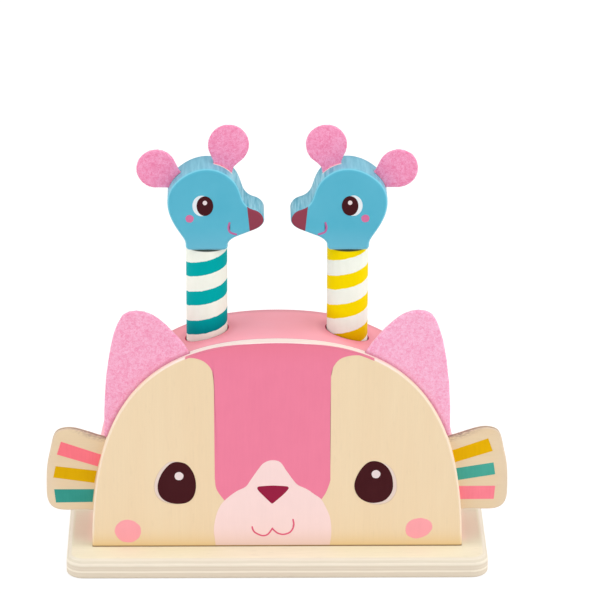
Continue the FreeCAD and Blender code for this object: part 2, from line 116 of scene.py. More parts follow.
# The photograph's view
VIEW_ELEVATION, VIEW_YAW, VIEW_ROLL = 21.1, 0.943, 0.215  # degrees
VIEW_LENS, VIEW_SENSOR = 268.09, 36
VIEW_TARGET = (11.216, 0, 154.306)
VIEW_DISTANCE, VIEW_END = 2.5, 60  # metres
LAMPS = (  # name, strength, degrees that it spreads, where it shines from
    ("key", 0.31, 50, (0.1, -0.72, 1.2)),
    ("left_side", 1.03, 70, (-1.0, -0.22, 0.68)),
    ("right_side", 1.27, 70, (1.0, -0.22, 0.68)),
)
WHITE = (1, 1, 1, 1)
WORLD_LIGHT = 0.61
FLOOR_HALF = 8  # metres
FLOOR_BOUNCE, FLOOR_SHADOW, FLOOR_GLOW = (0.86, 0.86, 0.86, 1), (0.30, 0.295, 0.29, 1), 0.78


def add_object(name, data):
    piece = bpy.data.objects.new(name, data)
    SCENE.collection.objects.link(piece)
    return piece


def add_camera():
    elevation, yaw, roll = (math.radians(a) for a in (VIEW_ELEVATION, VIEW_YAW, VIEW_ROLL))
    data = bpy.data.cameras.new("camera")
    data.lens, data.sensor_width, data.clip_end = VIEW_LENS, VIEW_SENSOR, VIEW_END
    camera = add_object("camera", data)
    turn = (
        Matrix.Rotation(-yaw, 3, "Z")
        @ Matrix.Rotation(math.pi / 2 - elevation, 3, "X")
        @ Matrix.Rotation(roll, 3, "Z")
    )
    camera.rotation_euler = turn.to_euler()
    camera.location = Vector(VIEW_TARGET) * MM - VIEW_DISTANCE * (turn @ Vector((0, 0, -1)))
    SCENE.camera = camera


def add_shader(tree, kind, **inputs):
    node = tree.nodes.new("ShaderNode" + kind)
    for name, value in inputs.items():
        node.inputs[name].default_value = value
    return node


def seen_ray(tree):
    """1 for camera, glossy and transmission rays, else 0."""
    path = tree.nodes.new("ShaderNodeLightPath")
    total = path.outputs["Is Camera Ray"]
    for name in ("Is Glossy Ray", "Is Transmission Ray"):
        add = tree.nodes.new("ShaderNodeMath")
        add.operation, add.use_clamp = "ADD", True
        tree.links.new(total, add.inputs[0])
        tree.links.new(path.outputs[name], add.inputs[1])
        total = add.outputs[0]
    return total


def show(tree, lit, seen, output):
    """Joins the shader whose light falls on the object with the one that is seen."""
    mix = tree.nodes.new("ShaderNodeMixShader")
    tree.links.new(seen_ray(tree), mix.inputs[0])
    tree.links.new(lit.outputs[0], mix.inputs[1])
    tree.links.new(seen.outputs[0], mix.inputs[2])
    tree.links.new(mix.outputs[0], output.inputs["Surface"])


def add_lights():
    for name, energy, angle, place in LAMPS:
        data = bpy.data.lights.new(name, "SUN")
        data.energy, data.angle = energy, math.radians(angle)
        add_object(name, data).rotation_euler = Vector(place).to_track_quat("Z", "Y").to_euler()
    world = bpy.data.worlds.new("studio")
    SCENE.world = world
    world.use_nodes = True
    tree = world.node_tree
    lit = tree.nodes["Background"]
    lit.inputs["Color"].default_value = WHITE
    lit.inputs["Strength"].default_value = WORLD_LIGHT
    show(tree, lit, add_shader(tree, "Background", Color=WHITE), tree.nodes["World Output"])


def add_floor():
    bm = bmesh.new()
    bmesh.ops.create_grid(bm, x_segments=8, y_segments=8, size=FLOOR_HALF)
    mesh = bpy.data.meshes.new("floor")
    bm.to_mesh(mesh)
    bm.free()
    floor = add_object("floor", mesh)
    material = bpy.data.materials.new("floor")
    material.use_nodes = True
    tree = material.node_tree
    tree.nodes.clear()
    bounce = add_shader(tree, "BsdfDiffuse", Color=FLOOR_BOUNCE)
    shadow = add_shader(tree, "BsdfDiffuse", Color=FLOOR_SHADOW)
    glow = add_shader(tree, "Emission", Strength=FLOOR_GLOW)
    both = add_shader(tree, "AddShader")
    tree.links.new(shadow.outputs[0], both.inputs[0])
    tree.links.new(glow.outputs[0], both.inputs[1])
    show(tree, bounce, both, add_shader(tree, "OutputMaterial"))
    mesh.materials.append(material)


# Materials


def colour(red, green, blue):
    """A linear colour from the usual 0 to 255 numbers."""
    parts = [c / 255 for c in (red, green, blue)]
    return tuple(c / 12.92 if c <= 0.04045 else ((c + 0.055) / 1.055) ** 2.4 for c in parts) + (1,)


class Finish:
    """A node material in the making, with short words for the nodes it needs.

    Its tone is the colour so far. Masks and other values are sockets or plain numbers.
    """

    def __init__(self, name, **constants):
        self.material = bpy.data.materials.new(name)
        self.material.use_nodes = True
        self.tree = self.material.node_tree
        self.shader = self.tree.nodes["Principled BSDF"]
        for key, value in constants.items():
            self.shader.inputs[key.replace("_", " ")].default_value = value
        coordinates = self.tree.nodes.new("ShaderNodeTexCoord")
        self.place = coordinates.outputs["Object"]
        self.facing = coordinates.outputs["Normal"]

    def node(self, kind, inputs, **settings):
        node = self.tree.nodes.new("ShaderNode" + kind)
        for key, value in settings.items():
            setattr(node, key, value)
        for key, value in inputs.items():
            if isinstance(value, bpy.types.NodeSocket):
                self.tree.links.new(value, node.inputs[key])
            else:
                node.inputs[key].default_value = value
        return node

    def math(self, operation, *values):
        return self.node("Math", dict(enumerate(values)), operation=operation).outputs[0]

    def times(self, first, *others):
        """The product of all the values."""
        for other in others:
            first = self.math("MULTIPLY", first, other)
        return first

    def plus(self, a, b):
        return self.math("ADD", a, b)

    def minus(self, a, b):
        return self.math("SUBTRACT", a, b)

    def size(self, value):
        return self.math("ABSOLUTE", value)

    def scaled(self, vector, factors):
        node = self.node("VectorMath", {0: vector, 1: factors}, operation="MULTIPLY")
        return node.outputs[0]

    def parts(self, vector):
        return self.node("SeparateXYZ", {0: vector}).outputs

    def noise(self, factors, detail=2.0, roughness=0.5, distortion=0.0):
        inputs = {"Vector": self.scaled(self.place, factors), "Scale": 1.0, "Detail": detail}
        inputs.update({"Roughness": roughness, "Distortion": distortion})
        return self.node("TexNoise", inputs).outputs[0]

    def spread(self, value, low, high, to_low=0.0, to_high=1.0, smooth=False):
        """Goes from to_low to to_high as the value goes from low to high."""
        kind = "SMOOTHSTEP" if smooth else "LINEAR"
        inputs = {0: value, 1: low, 2: high, 3: to_low, 4: to_high}
        return self.node("MapRange", inputs, interpolation_type=kind).outputs[0]

    def ramp(self, value, low, high, to_low=0.0, to_high=1.0, smooth=False):
        """A spread between two places in millimetres."""
        return self.spread(value, low * MM, high * MM, to_low, to_high, smooth)

    def within(self, value, low, high, soft=0.3):
        """1 between two places in millimetres, with soft ends."""
        rise = self.ramp(value, low - soft, low + soft)
        return self.times(rise, self.ramp(value, high - soft, high + soft, 1, 0))

    def mix(self, factor, a, b, blend="MIX"):
        node = self.node("Mix", {0: factor}, data_type="RGBA", blend_type=blend)
        for index, value in ((6, a), (7, b)):
            if isinstance(value, bpy.types.NodeSocket):
                self.tree.links.new(value, node.inputs[index])
            else:
                node.inputs[index].default_value = value
        return node.outputs[2]

    def lay(self, mask, *tone):
        """Lays a colour over the tone, as strongly as the mask says."""
        self.tone = self.mix(mask, self.tone, colour(*tone))

    def bands(self, value, stops):
        """A colour ramp through (place, colour) stops."""
        node = self.node("ValToRGB", {0: value})
        ramp = node.color_ramp
        while len(ramp.elements) < len(stops):
            ramp.elements.new(0.5)
        for element, (place, tone) in zip(ramp.elements, stops):
            element.position, element.color = place, tone
        return node.outputs[0]

    def bump(self, height, distance, strength=1.0, normal=None):
        """A normal from a height. The distance is in millimetres."""
        inputs = {"Height": height, "Distance": distance * MM, "Strength": strength}
        if normal is not None:
            inputs["Normal"] = normal
        return self.node("Bump", inputs).outputs[0]

    def turned(self, vector, start, end):
        settings = {"vector_type": "NORMAL", "convert_from": start, "convert_to": end}
        return self.node("VectorTransform", {0: vector}, **settings).outputs[0]

    def skin(self, axis):
        """The normal, without the slant that smooth shading gives flat and straight faces.

        Flat faces look along the axis, and straight ones run along it.
        """
        geometry = self.node("NewGeometry", {})
        smooth, true = (
            self.turned(geometry.outputs[name], "WORLD", "OBJECT")
            for name in ("Normal", "True Normal")
        )
        lean = self.size(self.parts(true)[axis])
        level = self.scaled(smooth, tuple(0 if k == axis else 1 for k in range(3)))
        level = self.node("VectorMath", {0: level}, operation="NORMALIZE").outputs[0]
        normal = self.mix(self.spread(lean, 0.02, 0.05, 1, 0), smooth, level)
        normal = self.mix(self.spread(lean, 0.99, 0.997), normal, true)
        return self.turned(normal, "OBJECT", "WORLD")

    def done(self, normal, roughness=None):
        self.tree.links.new(self.tone, self.shader.inputs["Base Color"])
        self.tree.links.new(normal, self.shader.inputs["Normal"])
        if roughness is not None:
            self.tree.links.new(roughness, self.shader.inputs["Roughness"])
        return self.material


def along(axis, across, lengthwise):
    """Noise factors per metre for a figure that is stretched along one axis."""
    return tuple(lengthwise if k == axis else across for k in range(3))


def veneer(finish, axis, light, dark, figure=1.0):
    """Birch: a broad soft figure, fine fibres and short flecks. Gives its colour and height."""
    broad = finish.noise(along(axis, 70, 9), 3, 0.55, 0.6)
    fibre = finish.noise(along(axis, 1500, 45), 3, 0.6)
    fleck = finish.noise(along(axis, 620, 130), 1, 0.4)
    tone = finish.mix(finish.spread(broad, 0.3, 0.7), dark, light)
    fibre_tone = finish.spread(fibre, 0.3, 0.7, 1 - 0.035 * figure, 1 + 0.02 * figure)
    fleck_tone = finish.spread(fleck, 0.66, 0.74, 1.0, 1 - 0.045 * figure)
    shade = finish.times(fibre_tone, fleck_tone)
    grey = finish.node("CombineColor", {0: shade, 1: shade, 2: shade}).outputs[0]
    return finish.mix(1.0, tone, grey, "MULTIPLY"), fibre


class Plywood(Finish):
    """Birch plywood: veneer on its faces, and its plies where the cut edge shows."""

    def __init__(self, name, layer_axis, start, thickness, face, plies, grain_axis, figure):
        super().__init__(name, Roughness=0.62, Specular_IOR_Level=0.2)
        self.layer_axis = layer_axis
        face_tone, self.fibre = veneer(self, grain_axis, *face, figure)
        wobble = self.noise(along(layer_axis, 25, 25), 2)
        depth = self.parts(self.place)[layer_axis]
        depth = self.plus(depth, self.spread(wobble, 0, 1, -0.25 * MM, 0.25 * MM))
        edge = self.bands(self.ramp(depth, start, start + thickness), plies)
        streak = self.noise(along(0, 1400, 70), 3, 0.65)
        streak = self.spread(streak, 0.35, 0.75, 0, 0.14)
        edge = self.mix(streak, edge, colour(196, 178, 155))
        flat = self.size(self.parts(self.facing)[layer_axis])
        self.tone = self.mix(self.spread(flat, 0.90, 0.99, smooth=True), edge, face_tone)

    def ready(self):
        return self.done(self.bump(self.fibre, 0.03, 0.4, self.skin(self.layer_axis)))


def even_plies(count, light, dark):
    """Stops for plies of the same thickness in turn, with narrow soft joints."""
    soft = 0.02
    stops = [(0.0, light)]
    for k in range(1, count):
        before, after = (light, dark) if k % 2 else (dark, light)
        stops += [(k / count - soft, before), (k / count + soft, after)]
    return stops + [(1.0, light if count % 2 else dark)]


def base_ply():
    """The base plate, with painted shade along the foot of the panel and beside the block on it."""
    light, mid, dark = colour(234, 225, 207), colour(230, 219, 200), colour(225, 212, 192)
    pale, line = colour(243, 233, 215), colour(227, 217, 197)
    stops = [
        (0.00, colour(222, 214, 198)), (0.08, dark), (0.31, dark), (0.35, pale), (0.40, pale),
        (0.44, dark), (0.50, dark), (0.53, mid), (0.56, dark), (0.63, dark), (0.67, light),
        (0.74, pale), (0.78, pale), (0.81, line), (0.88, line), (0.915, light), (0.965, light),
        (0.99, mid),
    ]
    face = colour(241, 233, 208), colour(237, 228, 201)
    finish = Plywood("base_ply", 2, 0, BASE_TOP, face, stops, 0, 1.1)
    x, y, z = finish.parts(finish.place)
    # Painted shade: a dark line in the crease along the panel's foot, on the base plate's top
    foot_shade = finish.times(
        finish.within(y, PANEL_FRONT - 0.5, PANEL_FRONT + 1, 0.25),
        finish.within(x, -DOME_HALF_WIDTH, DOME_HALF_WIDTH),
        finish.ramp(z, BASE_TOP - 0.5, BASE_TOP - 0.1, 0, 0.55),
    )
    finish.lay(foot_shade, 120, 90, 62)
    # Painted shade on the base's top beside the block, past the panel's ends
    beside_shade = finish.times(
        finish.ramp(finish.size(x), DOME_HALF_WIDTH - 3.5, DOME_HALF_WIDTH + 4.5, 0, 0.5),
        finish.ramp(y, PANEL_FRONT - 3.75, PANEL_FRONT + 4.25),
        finish.ramp(z, BASE_TOP - 0.5, BASE_TOP - 0.1),
    )
    finish.lay(beside_shade, 207, 207, 178)
    return finish.ready()


def panel_ply():
    """The face panel. Where the blaze meets the crown, its paint runs over the rounding, darker as
    painted shade.
    """
    stops = even_plies(5, colour(255, 234, 228), colour(250, 226, 217))
    face = colour(241, 218, 182), colour(239, 214, 177)
    thickness = PANEL_BACK - PANEL_FRONT
    finish = Plywood("panel_ply", 1, PANEL_FRONT, thickness, face, stops, 2, 0.45)
    x, y, z = finish.parts(finish.place)
    reach = finish.spread(finish.size(x), 16 * MM, 36 * MM, 0.32 * MM, 1.3 * MM)
    behind = finish.minus(y, PANEL_FRONT * MM)
    # The blaze's paint over the rounding, in a darker pink that is painted shade at the edge
    rounding = finish.times(
        finish.ramp(finish.minus(behind, reach), -0.02, 0.02, 1, 0),
        finish.ramp(behind, 0.01, 0.03),
        finish.within(x, BLAZE_LEFT - 0.5, BLAZE_RIGHT + 0.3),
        finish.ramp(z, CROWN - 15, CROWN - 14),
    )
    finish.lay(rounding, 224, 122, 146)
    # The edge is creamier down the flanks than over the crown
    edge = finish.spread(finish.size(finish.parts(finish.facing)[1]), 0.9, 0.99, 1, 0)
    cream = finish.ramp(z, CROWN - 23, CROWN - 7, 0.85, 0)
    finish.lay(finish.times(cream, edge), 246, 226, 197)
    # Painted warm bounce light and shade: golden and darker towards the base plate
    bounce_and_shade = finish.ramp(z, BASE_TOP, BASE_TOP + 12, 1, 0)
    finish.lay(finish.times(bounce_and_shade, bounce_and_shade), 233, 200, 142)
    # Painted shade in the crease where the panel stands on the base plate
    finish.lay(finish.ramp(z, BASE_TOP + 0.3, BASE_TOP + 0.9, 0.85, 0), 128, 92, 58)
    return finish.ready()


def fan_ply():
    """The whisker fans, greyer along their rims, with painted shade where their top edge meets the
    ears.
    """
    stops = even_plies(3, colour(222, 198, 172), colour(150, 122, 104))
    face = colour(234, 211, 176), colour(230, 204, 168)
    thickness = FAN_BACK - PANEL_BACK
    finish = Plywood("fan_ply", 1, PANEL_BACK, thickness, face, stops, 0, 0.5)
    x, _, z = finish.parts(finish.place)
    out = finish.size(x)
    finish.lay(finish.ramp(out, FAN_REACH - 8.3, FAN_REACH - 0.3, 0, 0.7), 230, 209, 182)
    rise = finish.times(finish.minus(out, DOME_HALF_WIDTH * MM), FAN_RISE)
    under = finish.minus(finish.plus(rise, FAN_TOP * MM), z)
    # Painted shade of the ears, in streaks, below the fans' top edge beside the dome
    streaks = finish.times(
        finish.ramp(under, 0.3, 3.6, 0.9, 0),
        finish.ramp(out, DOME_HALF_WIDTH + 1.5, DOME_HALF_WIDTH + 13.5, 1, 0),
        finish.spread(finish.noise((420, 160, 1500), 3, 0.7), 0.40, 0.60, 0.05, 1),
    )
    finish.lay(streaks, 168, 140, 128)
    return finish.ready()


def block_paint():
    """The block: pink, with painted shade at its top's edges, round its bores, and dark red inside
    them.
    """
    finish = Finish("block_paint", Roughness=0.5, Specular_IOR_Level=0.15)
    x, y, _ = finish.parts(finish.place)
    grain = finish.noise((35, 900, 900), 3, 0.6)
    cloud = finish.spread(finish.noise((40, 40, 40), 2), 0.3, 0.7)
    finish.tone = finish.mix(cloud, colour(255, 161, 175), colour(255, 169, 183))
    finish.lay(finish.spread(grain, 0.55, 0.8, 0, 0.25), 246, 140, 158)
    up = finish.spread(finish.parts(finish.facing)[2], 0.2, 0.7)
    # Painted shade along the top's back edge
    back = finish.ramp(y, BLOCK_BACK - 6.25, BLOCK_BACK - 0.25, 0, 0.8)
    finish.lay(finish.times(up, back), 216, 130, 140)
    # Painted shade down the top's flanks, where it slopes away from the light
    flank = finish.size(x)
    flank_shade = finish.ramp(flank, BORE_X + 1.25, BORE_X + 18.25, 0, 0.55)
    finish.lay(finish.times(up, flank_shade), 226, 132, 142)
    # Painted shade in the seam behind the panel
    finish.lay(finish.ramp(y, PANEL_BACK + 0.2, PANEL_BACK + 0.9, 0.6, 0), 216, 138, 150)
    across, ahead = finish.minus(flank, BORE_X * MM), finish.minus(y, BORE_Y * MM)
    gap = finish.node("CombineXYZ", {0: across, 1: ahead, 2: 0.0}).outputs[0]
    radius = finish.node("VectorMath", {0: gap}, operation="LENGTH").outputs["Value"]
    # Painted shadow in a ring round each bore
    finish.lay(finish.ramp(radius, BORE_RADIUS, BORE_RADIUS + 7, 0.5, 0, True), 226, 126, 140)
    # The bores' walls: their pink paint, painted deep red as shade and bounce light inside them
    inside = finish.ramp(radius, BORE_RADIUS + 0.15, BORE_RADIUS + 0.3, 1, 0)
    speckle = finish.noise((900, 900, 900), 3, 0.7)
    red = finish.mix(finish.spread(speckle, 0.35, 0.65), colour(196, 58, 84), colour(222, 84, 110))
    finish.tone = finish.mix(inside, finish.tone, red)
    normal = finish.bump(finish.mix(inside, grain, speckle), 0.05, 0.6, finish.skin(1))
    return finish.done(normal, finish.spread(inside, 0, 1, 0.42, 0.8))


def felt(name, light, dark, rim=False):
    """Wool felt. A rim is the dome's edge: the felt lies in its shade along it."""
    constants = {"Sheen_Weight": 0.25, "Sheen_Roughness": 0.5, "Specular_IOR_Level": 0.1}
    finish = Finish(name, Roughness=0.95, **constants)
    fibre = finish.noise((1600, 1600, 1600), 4, 0.75, 1.2)
    tuft = finish.noise((720, 720, 720), 3, 0.65, 1.0)
    clump = finish.noise((260, 260, 260), 3, 0.6, 0.8)
    blend = finish.times(fibre, 0.35)
    for share, field in ((0.53, tuft), (0.12, clump)):
        blend = finish.plus(blend, finish.times(field, share))
    finish.tone = finish.mix(finish.spread(blend, 0.42, 0.58), dark, light)
    if rim:
        x, _, z = finish.parts(finish.place)
        across = finish.math("DIVIDE", finish.size(x), DOME_HALF_WIDTH * MM)
        up = finish.math("MAXIMUM", finish.minus(z, BASE_TOP * MM), 0.0)
        up = finish.math("DIVIDE", up, DOME_HEIGHT * MM)
        powers = [finish.math("POWER", value, DOME_POWER) for value in (across, up)]
        size = finish.math("POWER", finish.plus(*powers), 1 / DOME_POWER)
        finish.lay(finish.spread(size, 1.0, 1.02, 0.5, 0, smooth=True), 196, 104, 128)
    return finish.done(finish.bump(blend, 0.5, 0.8))


def head_paint(side, sign, nose):
    """A mouse's head: smooth faces, a streaky sawn edge, a dark nose, and its ears' slots."""
    finish = Finish("head_paint_" + side, Roughness=0.45, Specular_IOR_Level=0.12)
    x, y, z = finish.parts(finish.place)
    out = finish.times(finish.minus(x, sign * BORE_X * MM), float(nose))
    up = finish.minus(z, CHIN * MM)
    flat = finish.size(finish.parts(finish.facing)[1])
    cloud = finish.spread(finish.noise((60, 60, 60), 2), 0.3, 0.7)
    front = finish.mix(cloud, colour(84, 178, 204), colour(92, 183, 208))
    # Painted bounce light from the white peg: the faces are lighter near the chin
    front = finish.mix(finish.ramp(up, 1, 14, 0.8, 0), front, colour(107, 185, 210))
    # The sawn edge takes the paint unevenly, in streaks that run from front to back
    saw = finish.noise((620, 40, 620), 3, 0.6)
    streak = finish.spread(saw, 0.34, 0.66)
    edge = finish.mix(streak, colour(112, 180, 203), colour(134, 198, 218))
    rough_edge = finish.mix(streak, colour(72, 160, 184), colour(152, 208, 224))
    edge = finish.mix(finish.ramp(out, 5, 15), edge, rough_edge)
    # Painted shade: the sawn edge is darker towards the back face
    deep = finish.ramp(y, BORE_Y + 5, BORE_Y + HEAD_HALF, 0, 0.35)
    edge = finish.mix(deep, edge, colour(70, 144, 168))
    finish.tone = finish.mix(finish.spread(flat, 0.45, 0.85, smooth=True), edge, front)
    # Painted highlight: the rounding between face and edge is lighter
    rise = finish.spread(flat, 0.30, 0.60, 0, 0.8, smooth=True)
    fall = finish.spread(flat, 0.72, 0.93, 1, 0, smooth=True)
    finish.lay(finish.times(rise, fall), 128, 208, 228)
    # The nose, past a slanting line across the snout
    slant = finish.times(finish.minus(up, NOSE_HEIGHT * MM), NOSE_SLANT)
    past = finish.minus(finish.minus(out, slant), NOSE_EDGE * MM)
    tip = finish.times(finish.ramp(past, -0.12, 0.12), finish.spread(flat, 0.55, 0.65))
    finish.lay(tip, 143, 60, 78)
    # Bare wood before the front ear's slot, and painted shade in the back ear's: how each ear
    # leans, where the mark's middle is across it, half the mark's width, its colour and strength
    above = finish.minus(up, HEAD_CENTRE * MM)
    before = finish.within(y, EAR_FRONT - 1.2, EAR_FRONT, 0.1)
    for lean, middle, half, tone, strength in (
        (FRONT_EAR_LEAN, 4.75, 5.8, (252, 243, 226), 1.0),
        (BACK_EAR_LEAN, 0, 5.6, (62, 84, 104), 0.8),
    ):
        sine, cosine = math.sin(math.radians(lean)), math.cos(math.radians(lean))
        across = finish.minus(finish.times(out, cosine), finish.times(above, sine))
        ahead = finish.plus(finish.times(out, sine), finish.times(above, cosine))
        across = finish.within(across, middle - half, middle + half, 0.4)
        finish.lay(finish.times(before, across, finish.ramp(ahead, 10, 11, 0, strength)), *tone)
    relief = finish.spread(flat, 0.45, 0.85, 0.9, 0.2)
    return finish.done(finish.bump(saw, 0.12, relief, finish.skin(1)))


def peg_paint(name, sign, band, deep, foot_shade, drop):
    """White with one helical band that climbs to the right on the side that faces you.

    The drop is how far below the chin the middle of the band's first turn lies in front.
    """
    finish = Finish(name, Roughness=0.5, Specular_IOR_Level=0.02)
    x, y, z = finish.parts(finish.place)
    out, ahead = finish.minus(x, sign * BORE_X * MM), finish.minus(BORE_Y * MM, y)
    turn = finish.math("DIVIDE", finish.math("ARCTAN2", out, ahead), 2 * math.pi)
    wobble = finish.spread(finish.noise((260, 260, 260), 3, 0.6), 0, 1, -0.55 * MM, 0.55 * MM)
    start = CHIN - drop - BAND_PITCH / 2
    level = finish.minus(finish.plus(z, wobble), start * MM)
    phase = finish.minus(finish.math("DIVIDE", level, BAND_PITCH * MM), turn)
    phase = finish.math("FRACT", finish.plus(phase, 40.0))  # 40 whole turns keep it positive
    distance = finish.size(finish.minus(phase, 0.5))
    mask = finish.spread(distance, BAND_SHARE / 2 - 0.006, BAND_SHARE / 2 + 0.006, 1, 0)
    brush = finish.noise((300, 300, 60), 3, 0.6)
    tint = finish.mix(finish.spread(brush, 0.3, 0.75, 0, 0.10), colour(*band), colour(*deep))
    white = finish.mix(finish.spread(brush, 0.3, 0.7), colour(245, 248, 237), colour(240, 244, 231))
    # Painted shade where it stands in the mouth of its bore, which slopes with the dome
    slope = finish.times(out, -BORE_SLOPE * sign)
    above = finish.minus(finish.minus(z, BORE_MOUTH * MM), slope)
    bore_shade = finish.times(finish.ramp(above, 0.5, 15, 1, 0), finish.ramp(above, -9, -2))
    tint = finish.mix(bore_shade, tint, colour(*foot_shade))
    white = finish.mix(finish.times(bore_shade, 0.16), white, colour(188, 150, 146))
    finish.tone = finish.mix(mask, white, tint)
    # Painted shade in the seam under the chin
    finish.lay(finish.ramp(z, CHIN - 1.3, CHIN - 0.7, 0, 0.95), 30, 56, 52)
    return finish.done(finish.bump(finish.noise((700, 700, 50), 3, 0.6), 0.08, 0.5))


def plain_wood(name, axis, light, dark):
    finish = Finish(name, Roughness=0.6)
    finish.tone, fibre = veneer(finish, axis, light, dark)
    return finish.done(finish.bump(fibre, 0.05, 0.6))


def steel(name, light, dark):
    finish = Finish(name, Metallic=1.0)
    mark = finish.noise((400, 400, 1500), 3, 0.7)
    finish.tone = finish.mix(mark, dark, light)
    return finish.done(finish.bump(mark, 0.02, 0.5), finish.spread(mark, 0.3, 0.7, 0.22, 0.4))


def ink_paint(name, tone, shift=2, fade=None):
    """Printed colour, a little uneven as it lies on wood. A fade is (from z, to z, its colour)."""
    finish = Finish(name, Roughness=0.55, Specular_IOR_Level=0.05)
    streaks = finish.noise(along(2, 700, 60), 3, 0.6)
    cloud = finish.noise((90, 90, 90), 2)
    blend = finish.times(finish.plus(streaks, cloud), 0.5)
    dark = colour(*(max(c - shift, 0) for c in tone))
    light = colour(*(min(c + shift * 0.5, 255) for c in tone))
    finish.tone = finish.mix(finish.spread(blend, 0.35, 0.65), dark, light)
    if fade:
        start, end, faded = fade
        share = finish.ramp(finish.parts(finish.place)[2], start, end)
        finish.lay(finish.times(share, share), *faded)
    return finish.done(finish.bump(streaks, 0.015, 0.5))


# Meshes


def through(points, step):
    """Points along a smooth line through all of the given ones but the first and the last."""
    line = []
    for a, b, c, d in zip(points, points[1:], points[2:], points[3:]):
        count = max(2, int(np.linalg.norm(c - b) / step))
        for t in np.arange(count) / count:
            square = (2 * a - 5 * b + 4 * c - d) * t**2
            cube = (3 * b - a - 3 * c + d) * t**3
            line.append(0.5 * (2 * b + (c - a) * t + square + cube))
    return line


def smooth_line(points, step=0.8):
    """Points along a smooth line through the given ones, along its chords at both ends."""
    p = np.array(points, float)
    before, after = 2 * p[0] - p[1], 2 * p[-1] - p[-2]
    return np.array([*through(np.vstack([before, p, after]), step), p[-1]])


def smooth_loop(points, step=0.8):
    """Points round a smooth closed line."""
    p = np.array(points, float)
    return np.array(through(np.vstack([p[-1:], p, p[:2]]), step))


def ellipse(centre, width, height, tilt=0.0, uneven=0.0, seed=0):
    """An ellipse, with slightly uneven edges where that is asked for."""
    count = 56
    c, s = math.cos(math.radians(tilt)), math.sin(math.radians(tilt))
    out = []
    for k in range(count):
        a = 2 * math.pi * k / count
        swell = 1 + uneven * noise.noise(Vector((2 * math.cos(a), 2 * math.sin(a), seed)))
        u, v = width / 2 * swell * math.cos(a), height / 2 * swell * math.sin(a)
        out.append((centre[0] + u * c - v * s, centre[1] + u * s + v * c))
    return np.array(out)


def directions(line):
    """Unit vectors along a line, one at each of its points."""
    ahead = np.gradient(line, axis=0)
    return ahead / np.linalg.norm(ahead, axis=1)[:, None]


def stroke(points, width):
    """The outline of a brush line with round ends."""
    line = smooth_line(points, 0.4)
    ahead = directions(line) * width / 2
    side = np.stack([-ahead[:, 1], ahead[:, 0]], 1)

    def cap(end, sign):
        """Points round one end, without those on the line's sides."""
        angles = np.linspace(0, math.pi, 7)[1:-1]
        return [
            line[end] + sign * (side[end] * math.cos(a) + ahead[end] * math.sin(a))
            for a in angles
        ]

    return np.array([*(line + side), *cap(-1, 1), *(line - side)[::-1], *cap(0, -1)])


def dome_edge(x_from, x_to, inset):
    """Points of the dome's outline between two places across, moved inwards."""
    t = np.linspace(0, 1, 400)
    x = (1 - t) ** 3 + 3 * (1 - t) ** 2 * t + 3 * (1 - t) * t**2 * DOME_FULLNESS
    z = 3 * (1 - t) ** 2 * t * DOME_FULLNESS + 3 * (1 - t) * t**2 + t**3
    right = np.stack([x * DOME_HALF_WIDTH, z * DOME_HEIGHT], 1)
    arc = np.vstack([right * (-1, 1), right[::-1][1:]])
    ahead = directions(arc)
    arc = arc + np.stack([ahead[:, 1], -ahead[:, 0]], 1) * inset
    places = np.linspace(x_from, x_to, 80)
    return np.stack([places, np.interp(places, arc[:, 0], arc[:, 1])], 1)


def ink(name, outline, front, lift, body, material, facing=-1):
    """A thin layer of ink on an upright face that looks along y. Its outline is (x, z).

    Front is where the face lies, and lift how far the ink stands proud of it.
    """
    bm = bmesh.new()
    levels = front + facing * lift, front - facing * INK_ROOT
    rings = [
        [bm.verts.new((x * MM, level * MM, z * MM)) for x, z in outline] for level in levels
    ]
    top = bm.faces.new(rings[0])
    for k in range(len(outline)):
        j = (k + 1) % len(outline)
        bm.faces.new((rings[0][k], rings[0][j], rings[1][j], rings[1][k]))
    bmesh.ops.triangulate(bm, faces=[top])
    bmesh.ops.recalc_face_normals(bm, faces=bm.faces)
    mesh = bpy.data.meshes.new(name)
    bm.to_mesh(mesh)
    bm.free()
    mesh.materials.append(material)
    piece = add_object(name, mesh)
    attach(piece, body)


def clear_of_dome(point):
    """How free the cat's felt is at a point: 0 behind the dome's outline, 1 well outside."""
    x, z = abs(point.x) / DOME_HALF_WIDTH, max(point.z - BASE_TOP, 0) / DOME_HEIGHT
    size = (x**DOME_POWER + z**DOME_POWER) ** (1 / DOME_POWER)
    return min(max((size - 0.99) * 30, 0.0), 1.0)


def clear_of_head(sign):
    """Gives the measure of how free a mouse's felt is: 0 in its head's slot, 1 well outside."""
    centre = Vector((sign * BORE_X, BORE_Y, CHIN + HEAD_CENTRE))

    def free(point):
        return min(max((point - centre).length - HEAD_REACH, 0.0) / 2, 1.0)

    return free


def soften(node, body, material, free, voxel, seed):
    """A felt leaf in place of its plain solid: soft edges and a fuzzy, slightly uneven skin."""
    wave_length, wave_height = 9, 0.22
    fuzz_length, fuzz_height = 1.1, 0.16
    piece = add_object(node + "_felt", NODES[node].data.copy())
    remesh = piece.modifiers.new("remesh", "REMESH")
    remesh.mode, remesh.voxel_size = "VOXEL", voxel * MM
    relax = piece.modifiers.new("relax", "SMOOTH")
    relax.factor, relax.iterations = 0.5, 4
    ready = piece.evaluated_get(bpy.context.evaluated_depsgraph_get())
    mesh = bpy.data.meshes.new_from_object(ready)
    piece.modifiers.clear()
    piece.data = mesh
    mesh.name = node + "_felt"
    for vertex in mesh.vertices:
        at = vertex.co / MM
        wave = noise.noise(at / wave_length + Vector((seed, 0, 0)))
        fuzz = noise.noise(at / fuzz_length + Vector((0, seed, 0)))
        swell = wave_height * wave + fuzz_height * fuzz
        vertex.co = vertex.co + vertex.normal * MM * free(at) * swell
    for polygon in mesh.polygons:
        polygon.use_smooth = True
    mesh.materials.clear()
    mesh.materials.append(material)
    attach(piece, body)
    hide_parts(node)


